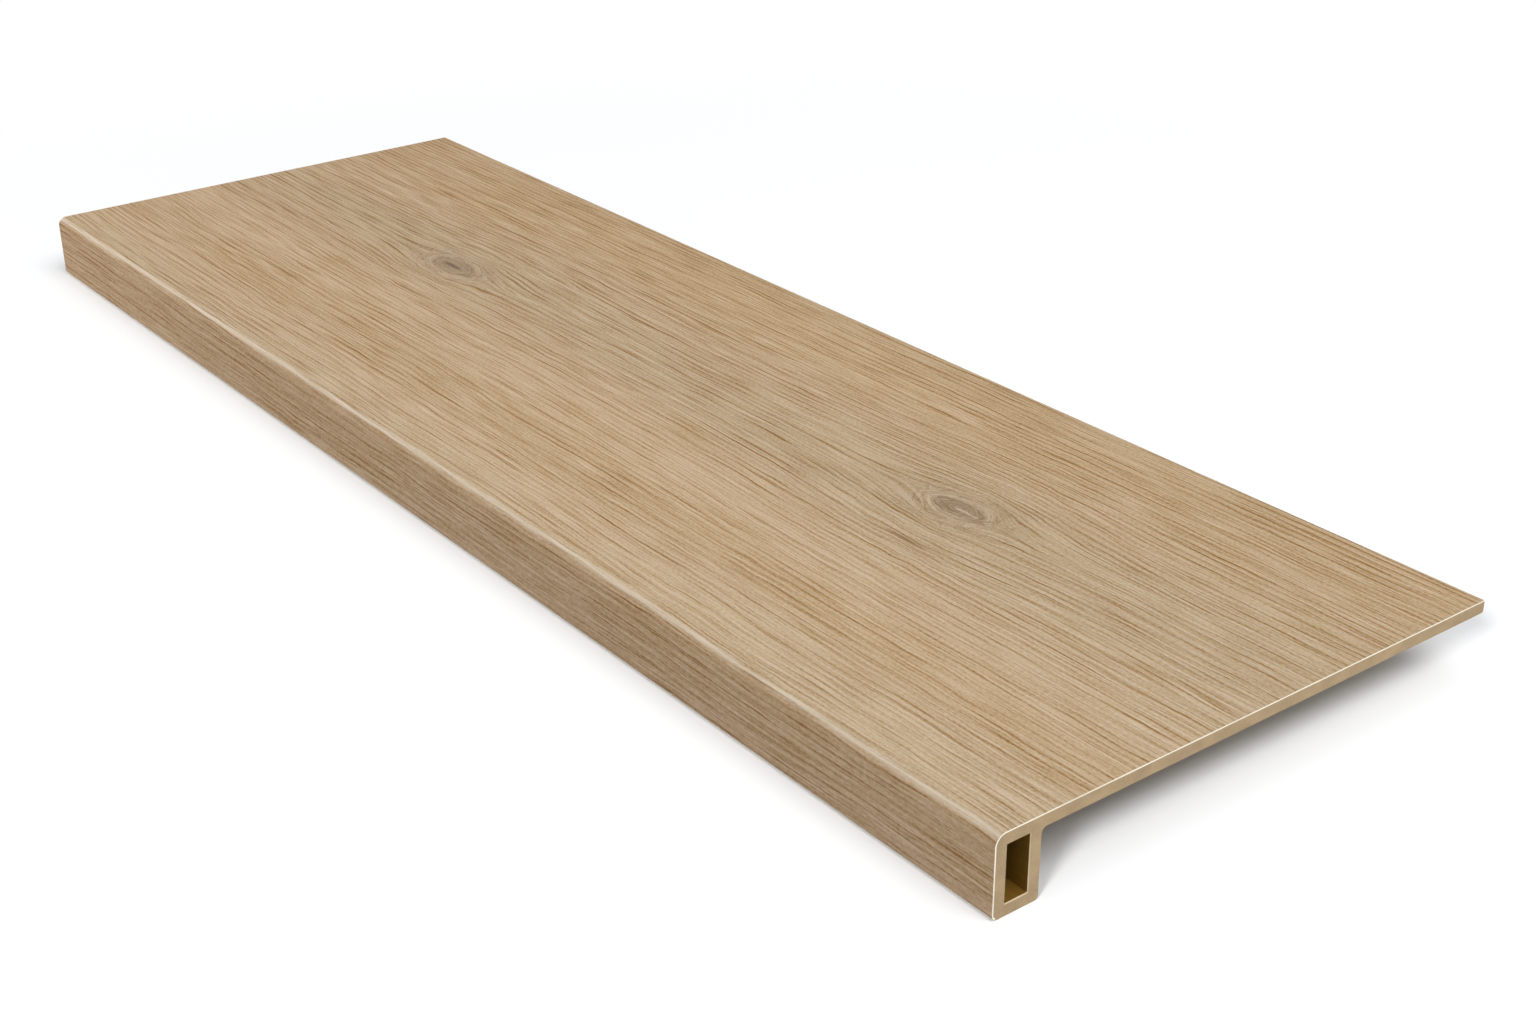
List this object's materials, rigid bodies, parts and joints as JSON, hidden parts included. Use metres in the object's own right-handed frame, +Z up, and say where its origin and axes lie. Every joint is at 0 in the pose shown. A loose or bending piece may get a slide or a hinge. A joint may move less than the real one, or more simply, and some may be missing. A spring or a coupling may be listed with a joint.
{
  "type": "stair tread",
  "caption": "Stair tread: a thin wood-grain plate with a hollow box nose along its front edge, laid over a step to give it a walking face and a square front lip.",
  "frame": {"origin": "on the floor, under the middle of the tread's box", "axes": "+X along the tread's length, +Y from the nose to the back edge, +Z up to the walking face"},
  "size_m": [1, 0.325, 0.043],
  "materials": {
    "core": "matte",
    "decor": "satin"
  },
  "bodies": {
    "root": {"core_profile": "core", "decor_film": "decor"}
  },
  "joints": []
}
